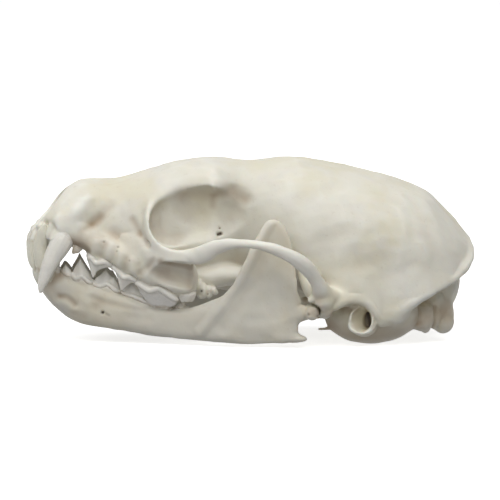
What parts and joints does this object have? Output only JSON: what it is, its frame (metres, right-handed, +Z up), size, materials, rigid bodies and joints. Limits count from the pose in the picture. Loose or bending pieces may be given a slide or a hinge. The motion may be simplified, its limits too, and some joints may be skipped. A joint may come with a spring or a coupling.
{
  "type": "marten skull",
  "caption": "Marten skull at rest on its lower jaw and ear capsules, mouth closed: cranium with upper teeth and both halves of the lower jaw",
  "frame": {"origin": "centre of the skull's bounding box in plan, at the height of the floor it rests on", "axes": "-X towards the snout, +X towards the back of the head, -Y the animal's left side, +Z up"},
  "size_m": [0.087, 0.0492, 0.0356],
  "materials": {
    "cranium_bone": "dry ivory bone, satin",
    "jaw_bone": "dry ivory bone, satin"
  },
  "bodies": {
    "root": {"cranium": "cranium_bone", "lower_jaw_left": "jaw_bone", "lower_jaw_right": "jaw_bone"}
  },
  "joints": []
}
